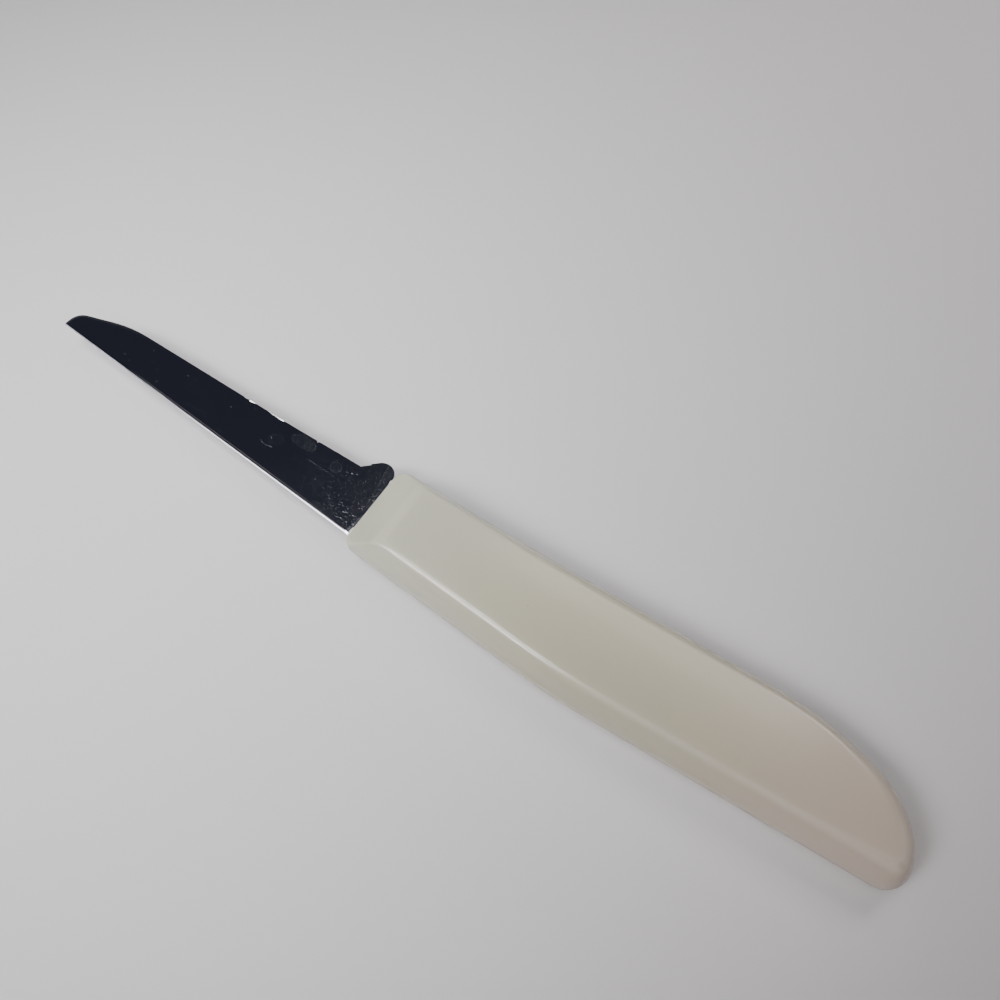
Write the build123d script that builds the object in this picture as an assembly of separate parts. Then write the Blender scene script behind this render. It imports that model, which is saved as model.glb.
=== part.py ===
from build123d import *

import math
import os

# Paring knife lying on its side: a stamped blade with its tang, and the handle moulded round it.
#
# All lengths are in millimetres and all angles in degrees. X runs from the tip to the butt, Y from the
# spine to the cutting edge and Z up. Until the knife is placed, X is zero at the handle's front on the
# spine line, Y is zero on the spine and Z is zero on the mid-plane of the strip.

# Blade: lengths run back from the handle's front, except the point's, which runs from the tip
BLADE_LENGTH = 74.3
STOCK = 1.0
TIP_WIDTH = 3.3
TIP_RADIUS = 3.0
POINT_LENGTH = 10.8
POINT_WIDTH = 7.48
POINT_RADIUS = 26.0
HOLLOW_LENGTH = 24.3
HOLLOW_WIDTH = 10.1
HOLLOW_RADIUS = 220.0
EDGE_WIDTH = 11.55
HEEL_LENGTH = 7.5
HEEL_RADIUS = 2.4
HEEL_SLOPE = 46.0

# Grind: both faces taper evenly towards the edge and the point, and run out in an arc by the handle
GRIND_HEEL_THICKNESS = 0.30
GRIND_POINT_THICKNESS = 0.22
WORN_EDGE_THICKNESS = 0.06
HONE_WIDTH = 0.5
SPINE_RADIUS = 0.2
RUNOUT_SPINE_LENGTH = 1.2
RUNOUT_DEPTH = 0.0
RUNOUT_WIDTH = 5.7
RUNOUT_HEEL_SETBACK = 2.2
RUNOUT_HEEL_RISE = 0.45

# Tang, hidden in the handle: a full-width shoulder, then a narrower strip with holes that lock it
SHOULDER_RISE = 0.75
SHOULDER_LENGTH = 5.0
TANG_SPINE_SETBACK = 3.4
TANG_EDGE_SETBACK = 1.3
TANG_COVER = 31.4
TANG_CORNER_RADIUS = 2.0
TANG_HOLE_DIAMETER = 4.0
TANG_HOLE_START = 22.0
TANG_HOLE_MARGIN = 10.0
TANG_HOLE_COUNT = 3

# Handle in plan, at its mid-plane: the back, then the belly side from the front to the butt. The radii
# of its corners are those of the rims of its flat faces
HANDLE_LENGTH = 103.3
HANDLE_THICKNESS = 12.0
SIDE_INSET = 2.3
RIDGE_RADIUS = 0.8
BACK_PROUD = 1.85
BACK_SLOPE = 0.5
BACK_KNEE_LENGTH = 44.1
BACK_KNEE_RADIUS = 122.7
BACK_REAR_SLOPE = 6.4
FRONT_COVER = 2.7
WAIST_LENGTH = 26.4
WAIST_RISE = 1.85
WAIST_RADIUS = 302.3
BELLY_RISE = 4.65
BELLY_FLAT_LENGTH = 7.4
BELLY_RADIUS = 52.7
RUMP_LENGTH = 14.3
RUMP_DROP = 2.55
RUMP_RADIUS = 42.7
BUTT_LENGTH = 6.1
BUTT_FLAT_WIDTH = 6.02
BUTT_SHOULDER_RADIUS = 15.7
BUTT_RADIUS = 6.1
BUTT_CORNER_RADIUS = 1.1

# Nose: the handle's front, slanted a little, with a ramp above and below the blade
FRONT_SLANT = 4.5
NOSE_LIP = 0.2
RAMP_LENGTH = 6.8
RAMP_RADIUS = 4.5
NOSE_CORNER_RADIUS = 2.6
NOSE_OVERHANG = 0.3

# Heights of the handle's sections, as shares of its half thickness
LEVEL_SHARES = [-1, -0.75, -0.5, -0.25, 0, 0.25, 0.5, 0.75, 1]

# The arcs at the two ends of a side of an outline may fill this share of it
FILL_SHARE = 0.995

# Cuts and blanks run past the piece by this much
OVERRUN = 30.0

SHOULDER_WIDTH = EDGE_WIDTH + SHOULDER_RISE
FRONT_WIDTH = SHOULDER_WIDTH + FRONT_COVER
TANG_LENGTH = HANDLE_LENGTH - TANG_COVER


def slope(angle):
    """Rise per unit length of a line at this angle to X."""
    return math.tan(math.radians(angle))


def headings(corners):
    """Directions into and out of each corner of a closed outline."""
    into = [(corners[i] - corners[i - 1]).normalized() for i in range(len(corners))]
    return list(zip(into, into[1:] + into[:1]))


def rounded(points, radii, height=0.0):
    """Closed face through the points, each corner rounded by its own radius where its sides have room."""
    corners = [Vector(x, y, height) for x, y in points]
    count = len(corners)
    turns = headings(corners)
    reaches = [radius * slope(into.get_angle(out) / 2) for radius, (into, out) in zip(radii, turns)]
    room = []
    for i in range(count):
        side = (corners[i] - corners[i - 1]).length
        fill = (reaches[i - 1] + reaches[i]) / side
        room.append(FILL_SHARE / max(fill, FILL_SHARE))
    reaches = [reaches[i] * min(room[i], room[(i + 1) % count]) for i in range(count)]
    starts = [corners[i] - turns[i][0] * reaches[i] for i in range(count)]
    ends = [corners[i] + turns[i][1] * reaches[i] for i in range(count)]
    edges = []
    for i in range(count):
        if reaches[i] > 0:
            edges.append(TangentArc(starts[i], ends[i], tangent=turns[i][0]))
        edges.append(Line(ends[i], starts[(i + 1) % count]))
    return make_face(Wire(edges))


def blade_outline():
    """Blade and tang in plan: straight spine, worn edge, the unworn heel and the stepped tang."""
    heel_back = -SHOULDER_WIDTH * slope(FRONT_SLANT)
    heel_rise = (heel_back + HEEL_LENGTH) * slope(HEEL_SLOPE)
    tang_top = SHOULDER_WIDTH - TANG_EDGE_SETBACK
    stations = [
        (-BLADE_LENGTH, 0, 0),
        (SHOULDER_LENGTH, 0, TANG_CORNER_RADIUS),
        (SHOULDER_LENGTH, TANG_SPINE_SETBACK, 0),
        (TANG_LENGTH, TANG_SPINE_SETBACK, TANG_CORNER_RADIUS),
        (TANG_LENGTH, tang_top, TANG_CORNER_RADIUS),
        (SHOULDER_LENGTH, tang_top, 0),
        (SHOULDER_LENGTH, SHOULDER_WIDTH, 0),
        (heel_back, SHOULDER_WIDTH, 0),
        (heel_back, EDGE_WIDTH + heel_rise, HEEL_RADIUS),
        (-HEEL_LENGTH, EDGE_WIDTH, 0),
        (-HOLLOW_LENGTH, HOLLOW_WIDTH, HOLLOW_RADIUS),
        (POINT_LENGTH - BLADE_LENGTH, POINT_WIDTH, POINT_RADIUS),
        (-BLADE_LENGTH, TIP_WIDTH, TIP_RADIUS),
    ]
    return rounded([(x, y) for x, y, _ in stations], [radius for _, _, radius in stations])


def grind_cutter():
    """Metal ground off the upper face: above a plane that falls towards the edge and the point."""
    at_handle = Vector(0, 0, STOCK / 2)
    at_heel = Vector(-HEEL_LENGTH, EDGE_WIDTH, GRIND_HEEL_THICKNESS / 2)
    at_point = Vector(POINT_LENGTH - BLADE_LENGTH, POINT_WIDTH, GRIND_POINT_THICKNESS / 2)
    normal = (at_handle - at_point).cross(at_heel - at_point)
    ground = Plane(origin=at_handle, z_dir=normal)
    far = -BLADE_LENGTH - OVERRUN
    side = EDGE_WIDTH + OVERRUN
    start = (-RUNOUT_SPINE_LENGTH, 0)
    end = (RUNOUT_HEEL_SETBACK - HEEL_LENGTH, EDGE_WIDTH + RUNOUT_HEEL_RISE)
    runout = ThreePointArc(start, (RUNOUT_DEPTH, RUNOUT_WIDTH), end)
    beyond_heel = (end[0] - OVERRUN, end[1] + OVERRUN)
    border = Polyline(end, beyond_heel, (far, side), (far, -OVERRUN), (start[0], -OVERRUN), start)
    block = extrude(make_face(Wire([runout, *border.edges()])), STOCK)
    return split(block, bisect_by=ground, keep=Keep.TOP)


def hone(strip, side):
    """The strip with the narrow sharpened bevel on one side of its worn edge."""
    depth = (min(GRIND_HEEL_THICKNESS, GRIND_POINT_THICKNESS) - WORN_EDGE_THICKNESS) / 2
    faces = [face for face in strip.faces() if face.center().X < -HEEL_LENGTH and face.center().Z * side > 0]
    ground = max(faces, key=lambda face: face.area)
    worn = [edge for edge in ground.edges() if edge.center().X < -HEEL_LENGTH]
    worn = [edge for edge in worn if edge.bounding_box().min.Y > HONE_WIDTH]
    return chamfer(worn, HONE_WIDTH, depth, reference=ground)


def blade():
    """Stamped strip with its grind, its honed edge and the holes that lock the tang."""
    strip = extrude(blade_outline(), STOCK / 2, both=True)
    cutter = grind_cutter()
    strip = strip - cutter - mirror(cutter, about=Plane.XY)
    strip = hone(hone(strip, 1), -1)
    spine = [edge for edge in strip.edges() if edge.bounding_box().max.Y < SPINE_RADIUS]
    spine = [edge for edge in spine if edge.length > BLADE_LENGTH / 2]
    strip = fillet(spine, SPINE_RADIUS)
    hole_y = (TANG_SPINE_SETBACK + SHOULDER_WIDTH - TANG_EDGE_SETBACK) / 2
    pitch = (TANG_LENGTH - TANG_HOLE_START - TANG_HOLE_MARGIN) / (TANG_HOLE_COUNT - 1)
    for i in range(TANG_HOLE_COUNT):
        hole = Cylinder(TANG_HOLE_DIAMETER / 2, STOCK * 2)
        strip -= Pos(TANG_HOLE_START + i * pitch, hole_y, 0) * hole
    return strip


def handle_stations():
    """Corners of the handle's plan at its mid-plane, each with the radius of its arc at the rims."""
    knee_y = BACK_KNEE_LENGTH * slope(BACK_SLOPE) - BACK_PROUD
    rear_y = knee_y + (HANDLE_LENGTH - BACK_KNEE_LENGTH) * slope(BACK_REAR_SLOPE)
    waist_y = FRONT_WIDTH + WAIST_RISE
    belly_y = waist_y + BELLY_RISE
    rump_x = HANDLE_LENGTH - BUTT_LENGTH - RUMP_LENGTH
    front_y = FRONT_WIDTH - OVERRUN * WAIST_RISE / WAIST_LENGTH
    return [
        (-OVERRUN, -BACK_PROUD - OVERRUN * slope(BACK_SLOPE), 0),
        (BACK_KNEE_LENGTH, knee_y, BACK_KNEE_RADIUS),
        (HANDLE_LENGTH, rear_y, BUTT_CORNER_RADIUS),
        (HANDLE_LENGTH, rear_y + BUTT_FLAT_WIDTH, BUTT_RADIUS),
        (HANDLE_LENGTH - BUTT_LENGTH, belly_y - RUMP_DROP, BUTT_SHOULDER_RADIUS),
        (rump_x, belly_y, RUMP_RADIUS),
        (rump_x - BELLY_FLAT_LENGTH, belly_y, BELLY_RADIUS),
        (WAIST_LENGTH, waist_y, WAIST_RADIUS),
        (-OVERRUN, front_y, 0),
    ]


def handle_ring(height):
    """Plan of the handle at this height above its mid-plane, drawn in as its convex sides are."""
    bulge = (SIDE_INSET**2 + (HANDLE_THICKNESS / 2)**2) / (2 * SIDE_INSET)
    inset = bulge - math.sqrt(bulge**2 - height**2)
    stations = handle_stations()
    corners = [Vector(x, y) for x, y, _ in stations]
    points, radii = [], []
    for corner, (into, out), (_, _, rim_radius) in zip(corners, headings(corners), stations):
        inward = Vector(-into.Y, into.X)
        middle = (inward + Vector(-out.Y, out.X)).normalized()
        moved = corner + middle * (inset / middle.dot(inward))
        points.append((moved.X, moved.Y))
        growth = math.copysign(SIDE_INSET - inset, into.cross(out).Z)
        radii.append(rim_radius + growth if rim_radius > 0 else 0)
    return rounded(points, radii, height)


def nose():
    """Space that the handle keeps to: ramps above and below the blade, and rounded front corners."""
    lip = STOCK / 2 + NOSE_LIP
    half = HANDLE_THICKNESS / 2
    far = HANDLE_LENGTH + OVERRUN
    side = [(0, -lip), (RAMP_LENGTH, -half), (far, -half), (far, half), (RAMP_LENGTH, half), (0, lip)]
    side_radii = [0, RAMP_RADIUS, 0, 0, RAMP_RADIUS, 0]
    profile = extrude(Plane.XZ * rounded(side, side_radii), OVERRUN, both=True)
    low = -BACK_PROUD - NOSE_OVERHANG
    high = FRONT_WIDTH + NOSE_OVERHANG
    front = [(0, low), (far, low - far * slope(FRONT_SLANT)), (far, high + OVERRUN), (0, high)]
    front_radii = [NOSE_CORNER_RADIUS, 0, 0, NOSE_CORNER_RADIUS]
    plan = extrude(rounded(front, front_radii), HANDLE_THICKNESS, both=True)
    return Rot(0, 0, FRONT_SLANT) * (profile & plan)


def handle_body():
    """Handle before the space for the blade is taken out: convex sides between flat faces."""
    half = HANDLE_THICKNESS / 2
    levels = [half * share for share in LEVEL_SHARES]
    body = loft([handle_ring(height) for height in levels]) & nose()
    high = [edge for edge in body.edges() if abs(edge.center().Z) > half / 2]
    rims = [edge for edge in high if edge.geom_type != GeomType.LINE]
    return fillet(rims, RIDGE_RADIUS)


def handle(tang):
    """Moulded handle: its body less the space that the blade and its tang fill."""
    return handle_body() - tang


def main():
    """Build both pieces, stand them on the ground plane and write them out."""
    strip = blade()
    grip = handle(strip)
    box = Compound([strip, grip]).bounding_box()
    centre = box.center()
    place = Pos(-centre.X, -centre.Y, -box.min.Z)
    os.makedirs("parts", exist_ok=True)
    for name, piece in (("blade", strip), ("handle", grip)):
        export_step(place * piece, f"parts/{name}.step")


if __name__ == "__main__":
    main()
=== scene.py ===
import logging
import math
from collections.abc import Sequence
from dataclasses import dataclass
from enum import Enum

import bmesh
import bpy
from mathutils import Matrix, Vector


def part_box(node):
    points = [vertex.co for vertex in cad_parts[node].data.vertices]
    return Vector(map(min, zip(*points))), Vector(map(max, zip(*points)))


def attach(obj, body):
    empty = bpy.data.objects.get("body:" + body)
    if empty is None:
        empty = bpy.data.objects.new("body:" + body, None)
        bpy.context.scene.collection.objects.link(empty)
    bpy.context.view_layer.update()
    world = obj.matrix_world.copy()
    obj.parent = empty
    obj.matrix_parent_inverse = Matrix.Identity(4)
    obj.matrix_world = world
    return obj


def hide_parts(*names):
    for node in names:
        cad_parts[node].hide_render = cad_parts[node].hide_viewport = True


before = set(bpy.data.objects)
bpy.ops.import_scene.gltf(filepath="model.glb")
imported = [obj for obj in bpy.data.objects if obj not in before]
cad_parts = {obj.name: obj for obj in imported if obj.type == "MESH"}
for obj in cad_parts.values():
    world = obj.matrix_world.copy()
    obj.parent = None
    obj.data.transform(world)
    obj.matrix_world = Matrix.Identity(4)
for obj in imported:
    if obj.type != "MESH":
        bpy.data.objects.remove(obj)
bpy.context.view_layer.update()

BODY = "root"

# Sizes in the classes below are in millimetres. The frame is in metres
MM = 0.001

# Sizes that the classes share
BLADE_LENGTH = 74.3
HANDLE_THICKNESS = 12.0
STOCK = 1.0
SHOULDER_WIDTH = 12.3
JOINT_SLANT = 4.5

# Points closer than this are one
MERGE = 0.0005

log = logging.getLogger("paring_knife")

Point = tuple[float, float]
Span = tuple[float, float]
Color = tuple[float, float, float]
Triple = tuple[float, float, float]


class Slot(Enum):
    """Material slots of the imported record."""

    STEEL = "polished_steel"
    PLASTIC = "handle_plastic"


class Side(Enum):
    """Upper and lower half of the handle, as the sign of the height above its mid-plane."""

    UPPER = 1
    LOWER = -1


def knife_origin() -> Vector:
    """Place in the frame of the spine line at the handle's front, at mid-thickness.

    Returns:
        The place, in metres.
    """
    low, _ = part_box("blade")
    return Vector((low.x + BLADE_LENGTH * MM, low.y, HANDLE_THICKNESS / 2 * MM))


ORIGIN = knife_origin()


def placed(x: float, y: float, z: float) -> Vector:
    """Point of the knife in the frame.

    Args:
        x: Distance behind the handle's front on the spine line, in millimetres.
        y: Distance from the spine towards the edge, in millimetres.
        z: Height above the mid-plane, in millimetres.

    Returns:
        The point in metres.
    """
    return ORIGIN + Vector((x, y, z)) * MM


def slope(angle: float) -> float:
    """Rise per unit length of a line at this angle in degrees."""
    return math.tan(math.radians(angle))


def soft_min(a: float, b: float, reach: float) -> float:
    """Lesser of two heights, with a round transition where they are within reach of each other.

    Args:
        a: First height.
        b: Second height.
        reach: Difference at which the transition starts.

    Returns:
        The blended height.
    """
    overlap = max(reach - abs(a - b), 0.0)
    return min(a, b) - overlap**2 / (4 * reach)


def mesh_object(name: str, points: Sequence[Vector], faces: Sequence[Sequence[int]]) -> bpy.types.Object:
    """New object from points and faces, shaded smooth.

    Args:
        name: Name of the piece.
        points: Corners in metres.
        faces: Indices of each face's corners.

    Returns:
        The object, linked to the scene.
    """
    mesh = bpy.data.meshes.new(name)
    mesh.from_pydata([tuple(point) for point in points], [], [list(face) for face in faces])
    mesh.shade_smooth()
    item = bpy.data.objects.new(name, mesh)
    bpy.context.scene.collection.objects.link(item)
    return item


def baked(item: bpy.types.Object) -> bpy.types.Object:
    """Turns what an object's modifiers make into its own plain mesh, and removes them.

    Args:
        item: Object with modifiers.

    Returns:
        The same object.
    """
    graph = bpy.context.evaluated_depsgraph_get()
    made = bpy.data.meshes.new_from_object(item.evaluated_get(graph))
    item.modifiers.clear()
    item.data = made
    return item


def faced_out(item: bpy.types.Object) -> None:
    """Merges a closed mesh's doubles, turns its faces outward and shades it smooth.

    Args:
        item: The piece.
    """
    shape = bmesh.new()
    shape.from_mesh(item.data)
    bmesh.ops.remove_doubles(shape, verts=shape.verts, dist=MERGE * MM)
    bmesh.ops.recalc_face_normals(shape, faces=shape.faces)
    shape.to_mesh(item.data)
    shape.free()
    item.data.shade_smooth()


def set_stops(ramp: bpy.types.ColorRamp, stops: Sequence[tuple[float, Color]]) -> None:
    """Gives a colour ramp its stops.

    Args:
        ramp: The ramp.
        stops: Place and colour of each stop, in rising order.
    """
    while len(ramp.elements) < len(stops):
        ramp.elements.new(1.0)
    for element, (place, color) in zip(ramp.elements, stops):
        element.position = place
        element.color = (*color, 1.0)


def add_node(
    tree: bpy.types.NodeTree,
    kind: str,
    settings: dict[str, object] | None = None,
    inputs: dict[int | str, object] | None = None,
) -> bpy.types.Node:
    """Adds one node of any type to a tree.

    Args:
        tree: The tree.
        kind: Type of the node.
        settings: Its settings, set before its sockets. "stops" gives the stops of a ramp.
        inputs: Values for its sockets, or output sockets to link to them, by index or name.

    Returns:
        The node.
    """
    made = tree.nodes.new(kind)
    for name, value in (settings or {}).items():
        if name == "stops":
            set_stops(made.color_ramp, value)
        else:
            setattr(made, name, value)
    for name, value in (inputs or {}).items():
        if isinstance(value, bpy.types.NodeSocket):
            tree.links.new(value, made.inputs[name])
        else:
            made.inputs[name].default_value = value
    return made


class Signal:
    """Value in a shader. Arithmetic on it adds Math nodes to its tree."""

    def __init__(self, graph: "Graph", output: bpy.types.NodeSocket) -> None:
        """Wraps one output socket of a node in the graph's tree."""
        self.graph = graph
        self.output = output

    def __add__(self, other: "Signal | float") -> "Signal":
        """Sum."""
        return self.graph.math("ADD", self, other)

    __radd__ = __add__

    def __sub__(self, other: "Signal | float") -> "Signal":
        """Difference."""
        return self.graph.math("SUBTRACT", self, other)

    def __rsub__(self, other: float) -> "Signal":
        """Difference from a number."""
        return self.graph.math("SUBTRACT", other, self)

    def __mul__(self, other: "Signal | float") -> "Signal":
        """Product."""
        return self.graph.math("MULTIPLY", self, other)

    __rmul__ = __mul__

    def __truediv__(self, other: "Signal | float") -> "Signal":
        """Quotient."""
        return self.graph.math("DIVIDE", self, other)

    def __rtruediv__(self, other: float) -> "Signal":
        """Quotient of a number by this value."""
        return self.graph.math("DIVIDE", other, self)

    def __pow__(self, other: "Signal | float") -> "Signal":
        """Power."""
        return self.graph.math("POWER", self, other)

    def __abs__(self) -> "Signal":
        """Absolute value."""
        return self.graph.math("ABSOLUTE", self)

    def least(self, other: "Signal | float") -> "Signal":
        """Lesser of this value and another."""
        return self.graph.math("MINIMUM", self, other)

    def most(self, other: "Signal | float") -> "Signal":
        """Greater of this value and another."""
        return self.graph.math("MAXIMUM", self, other)

    def root(self) -> "Signal":
        """Square root."""
        return self.graph.math("SQRT", self)

    def step(self, start: float, end: float) -> "Signal":
        """Smooth step from 0 at start to 1 at end.

        Args:
            start: Value at which the step starts.
            end: Value at which it ends, lower than start for a falling step.

        Returns:
            The step, from 0 to 1.
        """
        settings = {"interpolation_type": "SMOOTHSTEP"}
        return self.graph.node("ShaderNodeMapRange", settings, {0: self, 1: start, 2: end})


class Graph:
    """Node tree of one finish, with its Principled shader."""

    def __init__(self, name: str, constants: dict[str, object]) -> None:
        """Makes the material.

        Args:
            name: Name of the finish.
            constants: Values set straight on sockets of the Principled shader.
        """
        self.material = bpy.data.materials.new(name)
        self.material.use_nodes = True
        self.tree = self.material.node_tree
        self.shader = self.tree.nodes["Principled BSDF"]
        for socket, value in constants.items():
            self.shader.inputs[socket].default_value = value

    def node(
        self,
        kind: str,
        settings: dict[str, object] | None = None,
        inputs: dict[int | str, object] | None = None,
        output: int | str = 0,
    ) -> Signal:
        """Adds one node of any type.

        Args:
            kind: Type of the node.
            settings: Its settings, set before its sockets. "stops" gives the stops of a ramp.
            inputs: Values or signals for its sockets, by index or name.
            output: Socket to read.

        Returns:
            The signal that the node gives.
        """
        sockets = {
            name: value.output if isinstance(value, Signal) else value for name, value in (inputs or {}).items()
        }
        return Signal(self, add_node(self.tree, kind, settings, sockets).outputs[output])

    def surface(self, **signals: Signal) -> bpy.types.Material:
        """Feeds what changes over the surface into the shader.

        Args:
            signals: A signal for each socket, by its name with underscores for spaces.

        Returns:
            The finished material.
        """
        for name, signal in signals.items():
            self.tree.links.new(signal.output, self.shader.inputs[name.replace("_", " ")])
        return self.material

    def math(self, operation: str, *values: "Signal | float") -> Signal:
        """Adds a Math node for these values."""
        return self.node("ShaderNodeMath", {"operation": operation}, dict(enumerate(values)))

    def place(self) -> Signal:
        """Object coordinates in millimetres."""
        coordinates = self.node("ShaderNodeTexCoord", output="Object")
        settings = {"operation": "SCALE"}
        return self.node("ShaderNodeVectorMath", settings, {0: coordinates, "Scale": 1 / MM})

    def axes(self) -> tuple[Signal, Signal, Signal]:
        """Distances behind the handle's front, from the spine and above the mid-plane, in millimetres."""
        zero = tuple(-part / MM for part in ORIGIN)
        moved = self.node("ShaderNodeVectorMath", {"operation": "ADD"}, {0: self.place(), 1: zero})
        parts = self.node("ShaderNodeSeparateXYZ", None, {0: moved})
        outputs = parts.output.node.outputs
        return Signal(self, outputs[0]), Signal(self, outputs[1]), Signal(self, outputs[2])

    def stretched(self, scale: Triple, turn: float = 0.0) -> Signal:
        """Object coordinates in millimetres, turned about Z and scaled by axis.

        Args:
            scale: Factor along each axis after the turn.
            turn: Angle in degrees.

        Returns:
            The coordinates.
        """
        turned = {"Vector": self.place(), "Rotation": (0.0, 0.0, math.radians(turn))}
        spun = self.node("ShaderNodeMapping", {"vector_type": "POINT"}, turned)
        return self.node("ShaderNodeMapping", {"vector_type": "POINT"}, {"Vector": spun, "Scale": scale})

    def noise(self, place: Signal, scale: float, detail: float = 2.0, seed: float = 0.0) -> Signal:
        """Noise from 0 to 1, mostly near one half.

        Args:
            place: Coordinates.
            scale: Features per unit of the coordinates.
            detail: Octaves.
            seed: Slice of the noise.

        Returns:
            The noise.
        """
        sockets = {"Vector": place, "W": seed, "Scale": scale, "Detail": detail}
        return self.node("ShaderNodeTexNoise", {"noise_dimensions": "4D"}, sockets)

    def specks(self, place: Signal, pitch: float, size: float, share: float, across: str = "3D") -> Signal:
        """Scattered round specks.

        Args:
            place: Coordinates in millimetres.
            pitch: Distance between cells.
            size: Radius of the largest speck, as a share of the pitch.
            share: Share of the cells that have one.
            across: "2D" for a level face, so that every cell's speck lies on it, or "3D".

        Returns:
            1 in a speck and 0 outside.
        """
        sockets = {"Vector": place, "Scale": 1 / pitch}
        distance = self.node("ShaderNodeTexVoronoi", {"voronoi_dimensions": across}, sockets, "Distance")
        cell = Signal(self, distance.output.node.outputs["Color"])
        chance = self.node("ShaderNodeSeparateColor", None, {0: cell})
        grown = ((chance - (1 - share)) / share).most(0.0) * size
        rim = size / 3
        return (distance - grown).step(rim, -rim) * chance.step(1 - share, 1.02 - share)

    def mix(self, share: "Signal | float", first: object, second: object, blend: str = "MIX") -> Signal:
        """Mix of two colours.

        Args:
            share: Share of the second.
            first: Colour or signal.
            second: Colour or signal.
            blend: Blend type.

        Returns:
            The mixed colour.
        """
        colors = [(*value, 1.0) if isinstance(value, tuple) else value for value in (first, second)]
        settings = {"data_type": "RGBA", "blend_type": blend}
        return self.node("ShaderNodeMix", settings, {0: share, 6: colors[0], 7: colors[1]}, 2)

    def bump(self, height: Signal, depth: float = 1.0) -> Signal:
        """Normal of a surface with this relief.

        Args:
            height: The relief.
            depth: What 1 stands for in it, in millimetres.

        Returns:
            The normal.
        """
        return self.node("ShaderNodeBump", None, {"Height": height, "Distance": depth * MM, "Strength": 1.0})


@dataclass(frozen=True)
class Scratch:
    """Straight mark on the blade, between two points in the knife's plan."""

    start: Point
    end: Point
    width: float
    strength: float

    def mask(self, x: Signal, y: Signal) -> Signal:
        """Where the mark is.

        Args:
            x: Distance behind the handle's front.
            y: Distance from the spine.

        Returns:
            The mark's strength on it, and 0 away from it.
        """
        along = Vector(self.end) - Vector(self.start)
        ux, uy = along.normalized()
        dx, dy = x - self.start[0], y - self.start[1]
        reach = (dx * ux + dy * uy).most(0.0).least(along.length)
        off = ((dx - reach * ux) ** 2 + (dy - reach * uy) ** 2).root()
        core = self.width * 0.35
        return off.step(self.width, core) * self.strength


@dataclass(frozen=True)
class WaterMark:
    """Dried drop on the blade: an oval with a rim and a thinner film inside."""

    centre: Point
    half_length: float
    half_width: float
    turn: float
    rim: float
    strength: float
    film: float

    def mask(self, x: Signal, y: Signal) -> Signal:
        """Where the mark is.

        Args:
            x: Distance behind the handle's front.
            y: Distance from the spine.

        Returns:
            The mark's strength on its rim, less inside and 0 outside.
        """
        c, s = math.cos(math.radians(self.turn)), math.sin(math.radians(self.turn))
        dx, dy = x - self.centre[0], y - self.centre[1]
        along, across = dx * c + dy * s, dy * c - dx * s
        scaled = ((along / self.half_length) ** 2 + (across / self.half_width) ** 2).root()
        off = (scaled - 1) * self.half_width
        rim = abs(off).step(self.rim, self.rim * 0.3)
        return (rim * self.strength).most(off.step(0.0, -self.rim) * self.film)


@dataclass(frozen=True)
class Burr:
    """Sliver of the worn edge that is bent up and shines, between two points of the edge line."""

    start: Point
    end: Point
    width: float
    widest: float

    def rise(self, x: Signal, y: Signal) -> Signal:
        """Distance inside the sliver from its inner side.

        Args:
            x: Distance behind the handle's front.
            y: Distance from the spine.

        Returns:
            The distance in millimetres, and 0 away from the sliver.
        """
        along = Vector(self.end) - Vector(self.start)
        ux, uy = along.normalized()
        dx, dy = x - self.start[0], y - self.start[1]
        share = (dx * ux + dy * uy) / along.length
        taper = (share / self.widest).least((1 - share) / (1 - self.widest)).most(0.0)
        inward = dx * uy - dy * ux
        return (self.width * taper.root() - inward).most(0.0) * taper.step(0.0, 0.05)


@dataclass(frozen=True)
class Dirt:
    """Shares of each pattern in one part of the deposit on the steel."""

    even: float = 0.0
    fine: float = 0.0
    cloud: float = 0.0
    hair: float = 0.0
    dust: float = 0.0
    stars: float = 0.0

    def of(self, patterns: dict[str, Signal]) -> Signal:
        """Mixes the patterns.

        Args:
            patterns: Signal of each pattern, by its name here.

        Returns:
            The sum of the patterns, each times its share.
        """
        total = self.even
        for name, pattern in patterns.items():
            share = getattr(self, name)
            if share:
                total = total + share * pattern
        return total


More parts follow.
